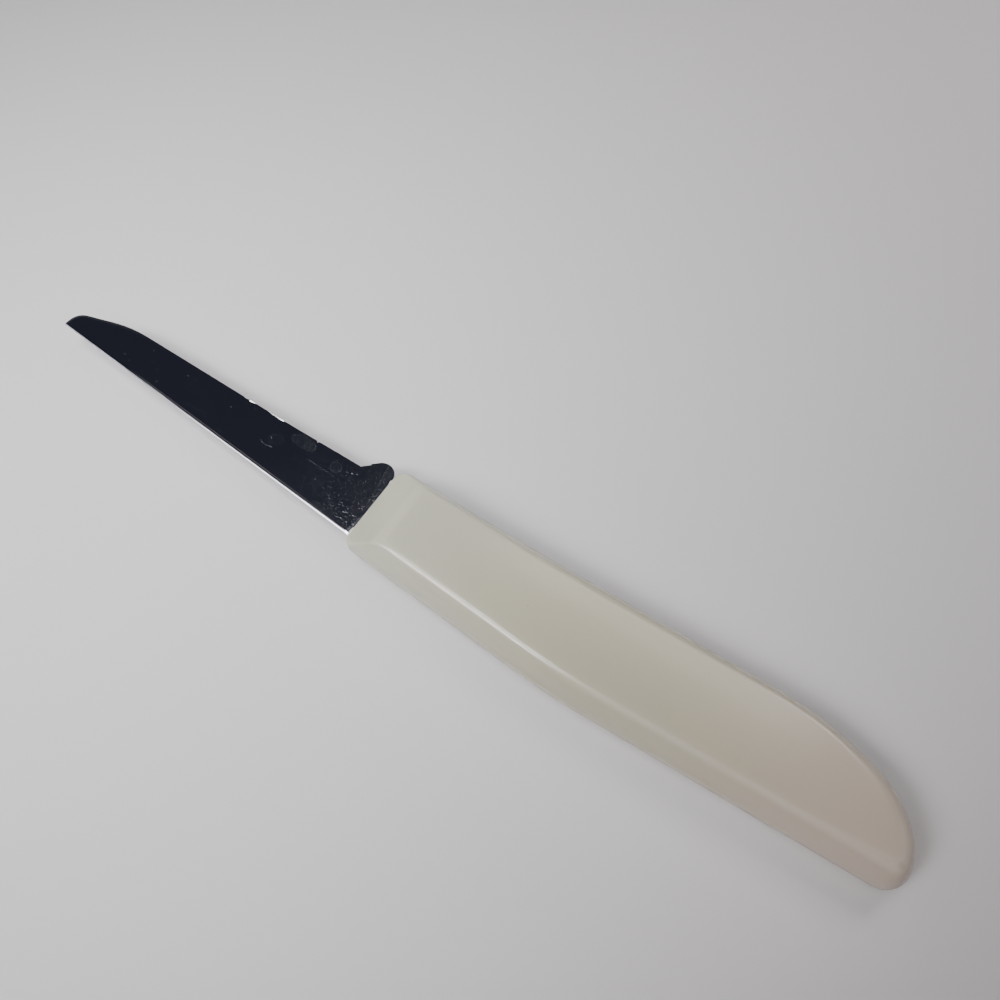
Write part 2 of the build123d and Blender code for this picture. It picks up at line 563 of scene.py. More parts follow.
@dataclass(frozen=True)
class PolishedSteel:
    """Mirror-polished steel of the blade, with its satin spine, haze by the handle and old marks.

    A span is the start and the end of a smooth step. Its name ends in what it steps along: x behind the
    handle's front, y from the spine, z above the mid-plane, off from a line, or a noise.
    """

    color: Color = (0.66, 0.67, 0.70)
    roughness: float = 0.075
    film_roughness: float = 0.03
    haze_roughness: float = 0.005
    grain_depth: float = 0.0012
    upper_z: Span = (0.0, 0.05)
    patch_noise: Span = (0.42, 0.72)
    hair_noise: Span = (0.64, 0.78)

    spine_depth: float = 0.14
    spine_core: float = 0.75
    spine_roughness: float = 0.28
    spine_slope: float = 0.44
    spine_wall_slope: float = 2.2
    spine_wall_y: Span = (0.50, 0.25)
    spine_shine_x: Span = (-62.0, -32.0)

    deposit_color: Color = (0.60, 0.66, 0.72)
    deposit_roughness: float = 0.45
    deposit_cover: float = 0.42
    haze_x: Span = (-28.0, 0.0)
    haze_least: float = 0.2
    haze: Dirt = Dirt(0.001, fine=0.007, cloud=0.004)
    heap_y: Span = (11.0, 3.0)
    heap_least: float = 0.40
    heap: Dirt = Dirt(cloud=0.022, hair=0.05, dust=0.22, stars=0.36)
    grains: float = 0.14
    mark: Dirt = Dirt(0.5, fine=1.5)

    band_line: tuple[Point, Point] = ((-1.15, 5.0), (-2.95, 12.5))
    band_wander: float = 0.7
    band_off: Span = (-0.15, 0.25)
    band_y: Span = (4.5, 6.0)
    band: Dirt = Dirt(0.008, fine=0.05, hair=0.05, dust=0.22)
    rim_off: Span = (0.22, 0.04)
    rim_y: Span = (5.5, 7.0)
    rim: Dirt = Dirt(0.018, fine=0.09)

    wedge_line: tuple[Point, Point] = ((-0.98, 0.4), (-0.60, 5.3))
    wedge_wander: float = 0.28
    wedge_off: Span = (-0.03, 0.05)
    wedge_y: Span = (5.4, 4.9)
    wedge: Dirt = Dirt(0.12, fine=0.06)
    edge_off: Span = (0.12, 0.03)
    edge_y: Span = (5.4, 4.4)
    edge: float = 0.12

    # The bent slivers' near-white colour is partly a painted glint; their bump tilts them towards the light
    burr_glint_color: Color = (0.92, 0.92, 0.93)
    burr_roughness: float = 0.24
    burr_slope: float = 0.62
    burr_rim: float = 0.05

    scratches: tuple[Scratch, ...] = (
        Scratch((-16.2, 6.71), (-9.9, 6.95), 0.08, 0.13),
        Scratch((-14.2, 6.2), (-11.2, 6.95), 0.06, 0.06),
        Scratch((-25.33, 4.17), (-24.2, 4.22), 0.11, 0.20),
        Scratch((-24.2, 4.22), (-22.9, 4.52), 0.11, 0.22),
        Scratch((-42.4, 1.60), (-37.7, 2.20), 0.08, 0.05),
        Scratch((-4.3, 1.1), (-3.4, 1.45), 0.10, 0.26),
        Scratch((-3.9, 2.6), (-2.9, 3.0), 0.11, 0.32),
        Scratch((-2.2, 3.0), (-1.4, 3.35), 0.11, 0.26),
        Scratch((-6.8, 2.1), (-6.0, 2.4), 0.10, 0.26),
        Scratch((-5.6, 3.2), (-5.1, 3.4), 0.10, 0.22),
        Scratch((-9.6, 1.06), (-6.3, 1.15), 0.06, 0.09),
        Scratch((-8.0, 4.4), (-6.6, 4.9), 0.07, 0.10),
        Scratch((-12.6, 3.1), (-11.4, 3.4), 0.06, 0.09),
        Scratch((-8.9, 9.0), (-8.4, 9.15), 0.12, 0.16),
        Scratch((-7.9, 9.35), (-7.6, 9.45), 0.14, 0.24),
        Scratch((-7.1, 9.75), (-6.9, 9.80), 0.13, 0.20),
        Scratch((-29.6, 5.2), (-29.5, 5.2), 0.12, 0.12),
        Scratch((-30.2, 5.5), (-30.1, 5.5), 0.10, 0.10),
        Scratch((-24.6, 6.0), (-24.3, 5.8), 0.14, 0.14),
    )
    marks: tuple[WaterMark, ...] = (
        WaterMark((-19.1, 8.9), 2.55, 1.15, 6.0, 0.10, 0.055, 0.020),
        WaterMark((-17.6, 8.85), 1.15, 0.95, 0.0, 0.09, 0.050, 0.010),
        WaterMark((-10.93, 8.55), 1.1, 0.98, 0.0, 0.13, 0.075, 0.012),
        WaterMark((-23.6, 6.2), 1.4, 1.0, 30.0, 0.12, 0.030, 0.006),
        WaterMark((-6.0, 7.0), 2.2, 1.6, 50.0, 0.16, 0.020, 0.008),
    )
    burrs: tuple[Burr, ...] = (
        Burr((-33.8, 9.465), (-32.0, 9.585), 0.24, 0.22),
        Burr((-28.9, 9.793), (-25.1, 10.06), 0.23, 0.82),
        Burr((-17.55, 10.683), (-16.85, 10.743), 0.32, 0.50),
    )

    @staticmethod
    def beyond(line: tuple[Point, Point], x: Signal, y: Signal) -> Signal:
        """Distance behind a line in the knife's plan, towards the handle.

        Args:
            line: Its spine end and its edge end.
            x: Distance behind the handle's front.
            y: Distance from the spine.

        Returns:
            The distance, negative in front of the line.
        """
        (x0, y0), (x1, y1) = line
        along = Vector((x1 - x0, y1 - y0)).normalized()
        return (x - x0) * along.y - (y - y0) * along.x

    def patterns(self, graph: Graph) -> dict[str, Signal]:
        """Patterns that the deposit is mixed from.

        Args:
            graph: Tree of the finish.

        Returns:
            A signal from 0 to 1 for each pattern, by its name in Dirt.
        """
        place = graph.place()
        streaks = graph.stretched((0.22, 7.0, 1.0), turn=9.0)
        return {
            "fine": graph.noise(place, scale=2.6, detail=5.0, seed=2.0).step(*self.patch_noise),
            "cloud": graph.noise(place, scale=0.28, detail=4.0, seed=1.0).step(*self.patch_noise),
            "hair": graph.noise(streaks, scale=1.0, detail=3.0, seed=3.0).step(*self.hair_noise),
            "dust": graph.specks(place, pitch=0.33, size=0.36, share=0.42, across="2D"),
            "stars": graph.specks(place, pitch=0.46, size=0.20, share=0.34, across="2D"),
        }

    def deposit(self, graph: Graph, patterns: dict[str, Signal], near: Signal) -> Signal:
        """What has dried on the blade.

        Args:
            graph: Tree of the finish.
            patterns: Patterns that the deposit is mixed from.
            near: How near the handle is, from 0 to 1.

        Returns:
            The deposit's share of the surface, which may pass 1.
        """
        x, y, _ = graph.axes()
        place = graph.place()
        low = self.heap_least + (1 - self.heap_least) * y.step(*self.heap_y)
        total = near * self.haze.of(patterns) + near * near * low * self.heap.of(patterns)
        grains = graph.specks(place, pitch=1.9, size=0.08, share=0.30, across="2D")
        total = total + self.grains * grains
        wander = graph.noise(place, scale=0.9, detail=2.0, seed=9.0) - 0.5
        behind = self.beyond(self.band_line, x, y) + self.band_wander * wander
        total = total + behind.step(*self.band_off) * y.step(*self.band_y) * self.band.of(patterns)
        total = total + abs(behind).step(*self.rim_off) * y.step(*self.rim_y) * self.rim.of(patterns)
        corner = self.beyond(self.wedge_line, x, y) + self.wedge_wander * (patterns["fine"] - 0.5)
        total = total + corner.step(*self.wedge_off) * y.step(*self.wedge_y) * self.wedge.of(patterns)
        total = total + abs(corner).step(*self.edge_off) * y.step(*self.edge_y) * self.edge
        strength = self.mark.of(patterns)
        for mark in (*self.scratches, *self.marks):
            total = total + mark.mask(x, y) * strength
        return total

    def relief(self, graph: Graph, rise: Signal) -> Signal:
        """Height of the surface, for the bump.

        Args:
            graph: Tree of the finish.
            rise: Distance inside a bent sliver of the edge.

        Returns:
            The height in millimetres.
        """
        x, y, z = graph.axes()
        upper = z.step(*self.upper_z)
        shine = x.step(*self.spine_shine_x)
        grain = graph.noise(graph.stretched((0.6, 0.05, 1.0)), scale=1.0, detail=2.0, seed=7.0)
        height = grain * self.grain_depth + rise * self.burr_slope * upper
        height = height - (self.spine_depth - y).most(0.0) * self.spine_slope * shine * upper
        return height + (STOCK / 2 - z) * y.step(*self.spine_wall_y) * self.spine_wall_slope * shine

    def material(self) -> bpy.types.Material:
        """Builds the finish.

        Returns:
            The material.
        """
        graph = Graph("blade_steel", {"Metallic": 1.0})
        x, y, z = graph.axes()
        patterns = self.patterns(graph)
        near = x.step(*self.haze_x)
        spine = y.step(self.spine_depth, self.spine_depth * self.spine_core)
        deposit = (self.deposit(graph, patterns, near) * (1 - spine)).least(1.0)
        rise = self.burrs[0].rise(x, y)
        for burr in self.burrs[1:]:
            rise = rise + burr.rise(x, y)
        bright = rise.step(0.0, self.burr_rim) * z.step(*self.upper_z)
        film = graph.noise(graph.place(), scale=0.12, detail=3.0, seed=5.0)
        haze = near * (self.haze_least + (1 - self.haze_least) * patterns["cloud"])
        rough = self.roughness + self.film_roughness * film + self.haze_roughness * haze
        owns = (self.spine_roughness, self.deposit_roughness, self.burr_roughness)
        for share, own in zip((spine, deposit, bright), owns):
            rough = rough + share * (own - self.roughness)
        tint = graph.mix(deposit, self.color, self.deposit_color)
        # Painted glint: the bent slivers of the edge are near white
        tint = graph.mix(bright, tint, self.burr_glint_color)
        metal = 1 - self.deposit_cover * deposit
        normal = graph.bump(self.relief(graph, rise))
        return graph.surface(Base_Color=tint, Roughness=rough, Metallic=metal, Normal=normal)


@dataclass(frozen=True)
class BrokenSteel:
    """Bright, rough steel where the edge has chipped."""

    color: Color = (0.80, 0.81, 0.82)
    dark_share: float = 0.8
    roughness: float = 0.38
    roughness_spread: float = 0.15
    grain_scale: float = 6.0
    grain_depth: float = 0.03

    def material(self) -> bpy.types.Material:
        """Builds the finish.

        Returns:
            The material.
        """
        graph = Graph("edge_chips", {"Metallic": 1.0})
        grain = graph.noise(graph.place(), self.grain_scale, detail=4.0)
        tint = graph.mix(grain, self.color, tuple(part * self.dark_share for part in self.color))
        rough = self.roughness + self.roughness_spread * (grain - 0.5)
        return graph.surface(Base_Color=tint, Roughness=rough, Normal=graph.bump(grain, self.grain_depth))


@dataclass(frozen=True)
class Speck:
    """Small dark spot on the handle."""

    centre: Triple
    radius: float
    strength: float

    def mask(self, place: Signal) -> Signal:
        """Where the speck is, from coordinates in millimetres."""
        near = tuple(part / MM for part in placed(*self.centre))
        settings = {"operation": "DISTANCE"}
        off = place.graph.node("ShaderNodeVectorMath", settings, {0: place, 1: near}, "Value")
        return off.step(self.radius, self.radius * 0.3) * self.strength


@dataclass(frozen=True)
class IvoryPlastic:
    """Satin ivory plastic of the handle, lightly handled. Its tint darkens from the front to the middle and is
    warmer at the butt, partly the plastic's own tone and partly painted shade where the light falls off behind
    the front; a paler band along the rims is partly wear and partly a painted highlight.
    """

    # Tint from front to butt: partly the plastic's own warmer tone, partly painted shade where the light falls
    # off behind the front
    front_color: Color = (0.576, 0.592, 0.468)
    middle_color: Color = (0.535, 0.502, 0.370)
    butt_color: Color = (0.630, 0.530, 0.435)
    front_x: Span = (-5.0, 52.0)
    butt_x: Span = (52.0, 103.0)
    cloud_color: Color = (0.93, 0.92, 0.84)
    cloud_share: float = 0.5
    fine_color: Color = (0.80, 0.78, 0.72)
    fine_share: float = 0.10
    # Paler band along the rims just below the flat faces: partly wear, partly a painted highlight of the ridge
    worn_highlight_color: Color = (0.78, 0.76, 0.68)
    worn_highlight_low_z: Span = (4.7, 5.6)
    worn_highlight_high_z: Span = (5.95, 5.82)
    worn_highlight_least: float = 0.10
    worn_highlight_fine: float = 0.22
    stain_color: Color = (0.30, 0.24, 0.18)
    stain: float = 0.35
    roughness: float = 0.20
    cloud_roughness: float = 0.06
    rub_roughness: float = 0.04
    worn_gloss: float = 0.02
    swell_depth: float = 0.060
    peel_depth: float = 0.0012
    specks: tuple[Speck, ...] = (
        Speck((33.7, 6.8, 6.0), 0.22, 0.35),
        Speck((49.7, 0.7, 6.0), 0.18, 0.25),
        Speck((100.6, 8.0, 5.4), 0.9, 0.22),
        Speck((2.0, -1.2, 1.6), 0.22, 0.75),
        Speck((4.6, 4.4, 4.2), 0.16, 0.35),
        Speck((15.4, 9.3, 6.0), 0.20, 0.20),
        Speck((71.5, 3.4, 6.0), 0.17, 0.25),
    )

    def material(self) -> bpy.types.Material:
        """Builds the finish.

        Returns:
            The material.
        """
        constants = {
            "Subsurface Weight": 0.12,
            "Subsurface Radius": (1.0, 0.8, 0.55),
            "Subsurface Scale": 1.2 * MM,
            "IOR": 1.54,
        }
        graph = Graph("handle_plastic", constants)
        x, _, z = graph.axes()
        place = graph.place()
        cloud = graph.noise(place, scale=0.07, detail=3.0, seed=1.0)
        fine = graph.noise(place, scale=1.6, detail=5.0, seed=2.0)
        # Darker from the front to the middle and warmer at the butt: partly own tone, partly painted shade of
        # the light falling off
        tint = graph.mix(x.step(*self.front_x), self.front_color, self.middle_color)
        tint = graph.mix(x.step(*self.butt_x), tint, self.butt_color)
        tint = graph.mix(cloud * self.cloud_share, tint, self.cloud_color, "MULTIPLY")
        tint = graph.mix(fine * self.fine_share, tint, self.fine_color, "MULTIPLY")
        # Painted highlight and wear: the rims just below the flat faces are paler
        worn = abs(z).step(*self.worn_highlight_low_z) * abs(z).step(*self.worn_highlight_high_z)
        tint = graph.mix(worn * (self.worn_highlight_least + self.worn_highlight_fine * fine), tint, self.worn_highlight_color)
        stain = graph.specks(place, pitch=3.4, size=0.045, share=0.18) * self.stain
        for speck in self.specks:
            stain = stain.most(speck.mask(place))
        tint = graph.mix(stain, tint, self.stain_color)
        rub = graph.noise(graph.stretched((0.05, 0.22, 1.0), turn=8.0), scale=1.0, detail=2.0, seed=4.0)
        rough = self.roughness + self.cloud_roughness * (cloud - 0.5) + self.rub_roughness * (rub - 0.5)
        rough = rough - self.worn_gloss * worn
        swell = graph.noise(place, scale=0.10, detail=2.0, seed=6.0)
        peel = graph.noise(place, scale=0.7, detail=1.0, seed=8.0)
        relief = self.swell_depth * swell + self.peel_depth * peel
        return graph.surface(Base_Color=tint, Roughness=rough, Normal=graph.bump(relief))


@dataclass(frozen=True)
class Chip:
    """Break in the worn edge, cut by an egg-shaped tool."""

    centre: Triple
    half_length: float
    half_width: float
    half_height: float
    turn: float


@dataclass
class Blade:
    """Blade with its tang: the CAD strip, with the chips of its worn edge."""

    fillet_depth: float = 0.21
    smooth_below: float = 35.0
    flat_below: float = 0.5
    wall_below: float = 0.2
    cutter_rings: int = 16
    chips: tuple[Chip, ...] = (
        Chip((-34.3, 9.52, 0.20), 0.45, 0.24, 0.30, 5.0),
        Chip((-24.6, 10.48, 0.10), 0.40, 0.30, 0.40, 8.0),
        Chip((-17.9, 11.02, 0.20), 0.35, 0.22, 0.30, 8.0),
    )

    def strip(self) -> bpy.types.Object:
        """Copy of the CAD strip with its doubles merged.

        Returns:
            The object.
        """
        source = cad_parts["blade"].data
        cells: dict[tuple[int, ...], int] = {}
        points: list[Vector] = []
        index: list[int] = []
        for vertex in source.vertices:
            cell = tuple(round(part / (MERGE * MM)) for part in vertex.co)
            if cell not in cells:
                cells[cell] = len(points)
                points.append(vertex.co.copy())
            index.append(cells[cell])
        faces = [[index[i] for i in face.vertices] for face in source.polygons]
        faces = [face for face in faces if len(set(face)) == len(face)]
        return mesh_object("blade_dressed", points, faces)

    def cutter(self) -> bpy.types.Object:
        """One object with the tools that cut every chip.

        Returns:
            The object.
        """
        shape = bmesh.new()
        for chip in self.chips:
            size = Matrix.Diagonal((chip.half_length, chip.half_width, chip.half_height, 1 / MM)) * MM
            turn = Matrix.Rotation(math.radians(chip.turn), 4, "Z")
            place = Matrix.Translation(placed(*chip.centre)) @ turn @ size
            segments = {"u_segments": 2 * self.cutter_rings, "v_segments": self.cutter_rings}
            bmesh.ops.create_uvsphere(shape, radius=1, matrix=place, **segments)
        mesh = bpy.data.meshes.new("chip_tools")
        shape.to_mesh(mesh)
        shape.free()
        item = bpy.data.objects.new("chip_tools", mesh)
        bpy.context.scene.collection.objects.link(item)
        return item

    def mark_sharp(self, mesh: bpy.types.Mesh) -> None:
        """Keeps flat faces flat: only arcs of the outline and of the spine's rounding are smooth.

        Args:
            mesh: Mesh of the blade.
        """
        spine = ORIGIN.y + self.fillet_depth * MM
        shape = bmesh.new()
        shape.from_mesh(mesh)
        for edge in shape.edges:
            faces = edge.link_faces
            if len(faces) != 2:
                continue
            angle = math.degrees(edge.calc_face_angle(0.0))
            walls = all(abs(face.normal.z) < self.wall_below for face in faces)
            rounding = all(face.calc_center_median().y < spine for face in faces)
            chipped = all(face.material_index == 1 for face in faces)
            arc = angle < self.smooth_below and (walls or rounding or chipped)
            edge.smooth = arc or angle < self.flat_below
        shape.to_mesh(mesh)
        shape.free()

    def build(self) -> bpy.types.Object:
        """Builds and dresses the blade.

        Returns:
            The piece.
        """
        item = self.strip()
        tools = self.cutter()
        item.data.materials.append(PolishedSteel().material())
        tools.data.materials.append(BrokenSteel().material())
        cut = item.modifiers.new("chips", "BOOLEAN")
        cut.operation = "DIFFERENCE"
        cut.solver = "EXACT"
        cut.material_mode = "TRANSFER"
        cut.object = tools
        baked(item)
        bpy.data.objects.remove(tools)
        item.data.shade_smooth()
        self.mark_sharp(item.data)
        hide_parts("blade")
        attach(item, BODY)
        return item


@dataclass
class Corner:
    """Corner of the handle's plan at its mid-plane, with the radius of its arc at the rims."""

    x: float
    y: float
    radius: float
    steps: int
    run: int


@dataclass
class Handle:
    """Moulded handle: convex sides between two flat faces, and a ramp at the front on each face."""

    length: float = 103.3
    side_inset: float = 2.3
    back_proud: float = 1.85
    back_slope: float = 0.5
    knee_length: float = 44.1
    knee_radius: float = 122.7
    rear_slope: float = 6.4
    front_cover: float = 2.7
    waist_length: float = 26.4
    waist_rise: float = 1.85
    waist_radius: float = 302.3
    belly_rise: float = 4.65
    belly_flat_length: float = 7.4
    belly_radius: float = 52.7
    rump_length: float = 14.3
    rump_drop: float = 2.55
    rump_radius: float = 42.7
    butt_length: float = 6.1
    butt_flat_width: float = 6.02
    butt_shoulder_radius: float = 15.7
    butt_radius: float = 6.1
    butt_corner_radius: float = 1.1
    lip: float = 0.7
    lip_softness: float = 0.12
    ramp_length: float = 6.8
    corner_radius: float = 2.5
    crease_radius: float = 0.7
    crease_height: float = 2.2
    ridge_softness: float = 0.75
    butt_softness: float = 1.5
    ramp_softness: float = 1.25
    crown: float = 0.15
    crown_width: float = 8.0
    butt_start: float = 0.80
    butt_run: float = 0.16
    margin: float = 5.0
    middle_shift: float = 1.0
    middle_slope: float = 0.065
    fill: float = 0.995
    least_radius: float = 0.05
    levels: tuple[float, ...] = (
        0.0, 0.25, 0.45, 0.58, 0.66, 0.72, 0.80, 0.92, 1.10, 1.35, 1.7, 2.1, 2.6, 3.1, 3.6, 4.0, 4.3, 4.6,
        4.85, 5.05, 5.2, 5.35, 5.48, 5.58, 5.68, 5.78, 5.88, 5.98, 6.08, 6.18, 6.28, 6.40, 6.55, 6.75, 7.0,
        7.25, 7.5,
    )
    fills: tuple[float, ...] = (0.15, 0.32, 0.52, 0.72, 0.88, 0.96)

    @property
    def half(self) -> float:
        """Half of the handle's thickness."""
        return HANDLE_THICKNESS / 2

    @property
    def bulge(self) -> float:
        """Radius of the convex sides across the handle."""
        return (self.side_inset**2 + self.half**2) / (2 * self.side_inset)

    @property
    def front_width(self) -> float:
        """Distance from the spine to the belly side at the handle's front."""
        return SHOULDER_WIDTH + self.front_cover

    def inset(self, level: float) -> float:
        """Distance from the mid-plane's outline, in plan, to the side wall at this height."""
        return self.bulge - math.sqrt(self.bulge**2 - level**2)

    def setback(self, level: float) -> float:
        """Distance behind the front, in plan, to the ramp at this height."""
        rise = -soft_min(0.0, self.lip - level, self.lip_softness)
        return rise * self.ramp_length / (self.half - self.lip)

    def corners(self) -> list[Corner]:
        """Corners of the plan at the mid-plane, from the back's front end round to the belly's.

        Returns:
            The corners.
        """
        start_y = -self.back_proud
        knee_y = start_y + self.knee_length * slope(self.back_slope)
        rear_y = knee_y + (self.length - self.knee_length) * slope(self.rear_slope)
        waist_y = self.front_width + self.waist_rise
        belly_y = waist_y + self.belly_rise
        butt_x = self.length - self.butt_length
        rump_x = butt_x - self.rump_length
        return [
            Corner(0.0, start_y, self.corner_radius, 12, 26),
            Corner(self.knee_length, knee_y, self.knee_radius, 12, 40),
            Corner(self.length, rear_y, self.butt_corner_radius, 10, 4),
            Corner(self.length, rear_y + self.butt_flat_width, self.butt_radius, 12, 3),
            Corner(butt_x, belly_y - self.rump_drop, self.butt_shoulder_radius, 10, 4),
            Corner(rump_x, belly_y, self.rump_radius, 14, 4),
            Corner(rump_x - self.belly_flat_length, belly_y, self.belly_radius, 20, 30),
            Corner(self.waist_length, waist_y, self.waist_radius, 24, 8),
            Corner(0.0, self.front_width, self.corner_radius, 12, 24),
        ]

    def ring(self, level: float) -> list[Vector]:
        """Outline of the handle in plan at a height above its mid-plane.

        Args:
            level: Height. Above the flat face it only leads the inner rings.

        Returns:
            The same number of points at every height.
        """
        inset, setback = self.inset(level), self.setback(level)
        corners = self.corners()
        count = len(corners)
        spots = [Vector((corner.x, corner.y)) for corner in corners]
        slant = math.radians(JOINT_SLANT)
        front = Vector((-math.sin(slant), math.cos(slant)))
        back = Vector((front.y, -front.x))
        lines = [(spots[i], (spots[(i + 1) % count] - spots[i]).normalized()) for i in range(count - 1)]
        lines = [(start + Vector((-way.y, way.x)) * inset, way) for start, way in lines]
        lines.append((back * setback, -front))
        turns = [(lines[i - 1][1], lines[i][1]) for i in range(count)]
        moved = [self._crossing(lines[i - 1], lines[i]) for i in range(count)]
        blend = min(level / self.crease_height, 1.0)
        crease = self.corner_radius + (self.crease_radius - self.corner_radius) * blend * (2 - blend)
        radii = []
        for i, (corner, (into, out)) in enumerate(zip(corners, turns)):
            grown = corner.radius + math.copysign(self.side_inset - inset, into.cross(out))
            radii.append(crease if i in (0, count - 1) else max(grown, self.least_radius))
        reaches = [radius * math.tan(into.angle(out) / 2) for radius, (into, out) in zip(radii, turns)]
        sides = [(moved[i] - moved[i - 1]).length for i in range(count)]
        room = [self.fill / max((reaches[i - 1] + reaches[i]) / sides[i], self.fill) for i in range(count)]
        reaches = [reaches[i] * min(room[i], room[(i + 1) % count]) for i in range(count)]
        return self._sampled(corners, moved, turns, reaches)

    @staticmethod
    def _crossing(first: tuple[Vector, Vector], second: tuple[Vector, Vector]) -> Vector:
        """Point where two lines, each a point and a direction, cross."""
        (a, u), (b, v) = first, second
        return a + u * ((b - a).cross(v) / u.cross(v))

    @staticmethod
    def _sampled(
        corners: list[Corner],
        moved: list[Vector],
        turns: list[tuple[Vector, Vector]],
        reaches: list[float],
    ) -> list[Vector]:
        """Points along the arcs and lines of an outline.

        Args:
            corners: Corners with the number of points of each arc and of the line after it.
            moved: Place of each corner in this outline.
            turns: Directions into and out of each corner.
            reaches: Distance from each corner to the ends of its arc.

        Returns:
            The points.
        """
        count = len(corners)
        points = []
        for i, corner in enumerate(corners):
            into, out = turns[i]
            angle = into.angle(out)
            radius = reaches[i] / math.tan(angle / 2)
            inward = Vector((-into.y, into.x)) * math.copysign(1.0, into.cross(out))
            start = moved[i] - into * reaches[i]
            for step in range(corner.steps + 1):
                turn = angle * step / corner.steps
                points.append(start + (into * math.sin(turn) + inward * (1 - math.cos(turn))) * radius)
            end = moved[i] + out * reaches[i]
            following = moved[(i + 1) % count] - turns[(i + 1) % count][0] * reaches[(i + 1) % count]
            for step in range(1, corner.run):
                points.append(end.lerp(following, step / corner.run))
        return points

    def softness(self, point: Vector, inset: float, setback: float) -> float:
        """Softness of the rim that is nearest to a point of a ring.

        Args:
            point: Point in plan.
            inset: Inset of the ring. Not used.
            setback: Setback of the ring's front.

        Returns:
            The reach of the transition between the wall or ramp and the flat face.
        """
        slant = math.radians(JOINT_SLANT)
        behind = point.x * math.cos(slant) + point.y * math.sin(slant) - setback
        ramp = max(0.0, 1.0 - behind / (2 * self.crease_radius))
        butt = min(max((point.x / self.length - self.butt_start) / self.butt_run, 0.0), 1.0)
        side = self.ridge_softness + (self.butt_softness - self.ridge_softness) * butt**2 * (3 - 2 * butt)
        return side + (self.ramp_softness - side) * ramp**2 * (3 - 2 * ramp)

    def height(self, side: Side, level: float, depth: float, softness: float, width: float) -> float:
        """Height above the mid-plane of a point of a ring.

        Args:
            side: Half of the handle.
            level: Height that leads the ring.
            depth: Distance from the mid-plane's outline.
            softness: Reach of the transition to the flat face.
            width: Distance over which the crown rises from the rim.

        Returns:
            The height, negative below.
        """
        flat = self.half
        if side is Side.UPPER:
            rise = min(max((depth - self.side_inset) / width, 0.0), 1.0)
            flat -= self.crown * (1 - rise) ** 2
        return side.value * soft_min(flat, level, softness)

    def shell(self) -> tuple[list[Vector], list[list[int]]]:
        """Closed shell of the handle.

        Returns:
            Its points, in metres, and its faces.
        """
        upper = self.half_rings(Side.UPPER)
        lower = self.half_rings(Side.LOWER)
        rings = upper[::-1] + lower[1:]
        count = len(rings[0])
        points = [placed(*point) for ring in rings for point in ring]
        faces = []
        for row in range(len(rings) - 1):
            for i in range(count):
                j = (i + 1) % count
                low, high = row * count, (row + 1) * count
                faces.append([low + i, high + i, high + j, low + j])
        faces.append(list(range(count)))
        faces.append([(len(rings) - 1) * count + i for i in reversed(range(count))])
        return points, faces

    def half_rings(self, side: Side) -> list[list[Vector]]:
        """Rings of one half, from the mid-plane to the middle of its flat face.

        Args:
            side: Half of the handle.

        Returns:
            The rings, each a list of points in millimetres.
        """
        last = self.ring(self.levels[-1])
        depth = self.inset(self.levels[-1])
        left, right = min(point.x for point in last), max(point.x for point in last)
        spines = []
        for point in last:
            x = min(max(point.x, left + self.margin), right - self.margin)
            spines.append(Vector((x, self.middle(x))))
        widths = [min(self.crown_width, (point - spine).length) for point, spine in zip(last, spines)]
        rings = []
        for level in self.levels:
            inset, setback = self.inset(level), self.setback(level)
            ring = []
            for point, width in zip(self.ring(level), widths):
                softness = self.softness(point, inset, setback)
                ring.append(Vector((point.x, point.y, self.height(side, level, inset, softness, width))))
            rings.append(ring)
        for share in self.fills:
            ring = []
            for point, spine, width in zip(last, spines, widths):
                spot = point.lerp(spine, share)
                inner = depth + (point - spot).length
                z = self.height(side, self.levels[-1] + share, inner, self.ridge_softness, width)
                ring.append(Vector((spot.x, spot.y, z)))
            rings.append(ring)
        return rings

    def middle(self, x: float) -> float:
        """Line down the middle of the flat faces, as the distance from the spine at x."""
        return self.front_width / 2 - self.middle_shift + x * self.middle_slope

    def build(self) -> bpy.types.Object:
        """Builds and dresses the handle.

        Returns:
            The piece.
        """
        points, faces = self.shell()
        item = mesh_object("handle_dressed", points, faces)
        faced_out(item)
        item.data.materials.append(IvoryPlastic().material())
        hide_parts("handle")
        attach(item, BODY)
        return item


